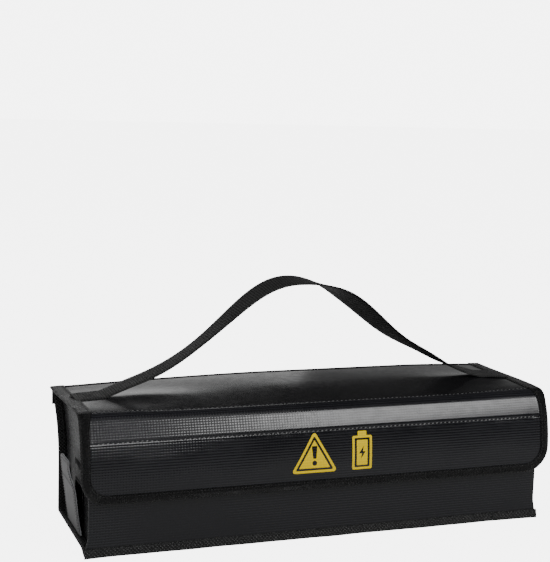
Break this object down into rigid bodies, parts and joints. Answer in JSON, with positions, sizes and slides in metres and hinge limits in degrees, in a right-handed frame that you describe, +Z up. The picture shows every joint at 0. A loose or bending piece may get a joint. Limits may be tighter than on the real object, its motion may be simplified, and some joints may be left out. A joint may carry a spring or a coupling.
{
  "type": "lipo safe bag",
  "caption": "Long padded fire-resistant bag for battery packs, with a hinged lid, a front flap closed by hook and loop, a webbing handle and a covered cable port.",
  "frame": {"origin": "centre of the underside, midway along the bag and midway between the front and back cloth", "axes": "+X along the bag, the cable port at -X; the flap and its symbols face -Y; +Z up"},
  "size_m": [0.468, 0.1502, 0.234],
  "materials": {
    "coated_cloth": "glossy coated plain weave, black",
    "edge_tape": "matte woven tape, black",
    "webbing": "ribbed webbing, black, satin",
    "insulation_felt": "needled felt, undyed",
    "fireproof_lining": "glass cloth, silver grey, satin",
    "hook_tape": "hook tape, black",
    "loop_tape": "loop pile tape, black",
    "print_yellow": "screen print, yellow, satin"
  },
  "bodies": {
    "tub": {"front_panel": "coated_cloth", "back_panel": "coated_cloth", "base_panel": "coated_cloth", "left_end_panel": "coated_cloth", "right_end_panel": "coated_cloth", "front_insulation": "insulation_felt", "back_insulation": "insulation_felt", "base_insulation": "insulation_felt", "left_end_insulation": "insulation_felt", "right_end_insulation": "insulation_felt", "front_lining": "fireproof_lining", "back_lining": "fireproof_lining", "base_lining": "fireproof_lining", "left_end_lining": "fireproof_lining", "right_end_lining": "fireproof_lining", "left_rim_binding": "edge_tape", "right_rim_binding": "edge_tape", "front_hem_binding": "edge_tape", "mouth_binding_front": "edge_tape", "mouth_binding_back": "edge_tape", "mouth_binding_left": "edge_tape", "mouth_binding_right": "edge_tape", "closure_hook_strip": "hook_tape", "back_hinge_tape": "edge_tape", "port_binding": "edge_tape", "port_hook_strip": "hook_tape"},
    "lid": {"lid_panel": "coated_cloth", "lid_insulation": "insulation_felt", "lid_lining": "fireproof_lining", "lid_left_binding": "edge_tape", "lid_right_binding": "edge_tape", "handle_left_root": "webbing", "handle_right_root": "webbing"},
    "flap": {"flap_panel": "coated_cloth", "flap_lining": "fireproof_lining", "flap_binding": "edge_tape", "closure_loop_strip": "loop_tape", "warning_print": "print_yellow", "battery_print": "print_yellow"},
    "handle": {"handle_strap": "webbing"},
    "cover": {"port_cover": "coated_cloth", "port_cover_lining": "fireproof_lining", "port_loop_strip": "loop_tape"}
  },
  "joints": [
    {"name": "lid_hinge", "type": "hinge", "parent": "tub", "child": "lid", "pos_m": [0, 0.07, 0.12215], "axis": [-1, 0, 0], "range_deg": [0, 110]},
    {"name": "flap_hinge", "type": "hinge", "parent": "lid", "child": "flap", "pos_m": [0, -0.06274, 0.12801], "axis": [-1, 0, 0], "range_deg": [0, 75]},
    {"name": "handle_swing", "type": "hinge", "parent": "lid", "child": "handle", "pos_m": [0, 0.002, 0.147], "axis": [1, 0, 0], "range_deg": [-90, 90]},
    {"name": "port_cover_hinge", "type": "hinge", "parent": "tub", "child": "cover", "pos_m": [-0.2222, 0.007, 0.0042], "axis": [0, -1, 0], "range_deg": [-8, 82]}
  ]
}
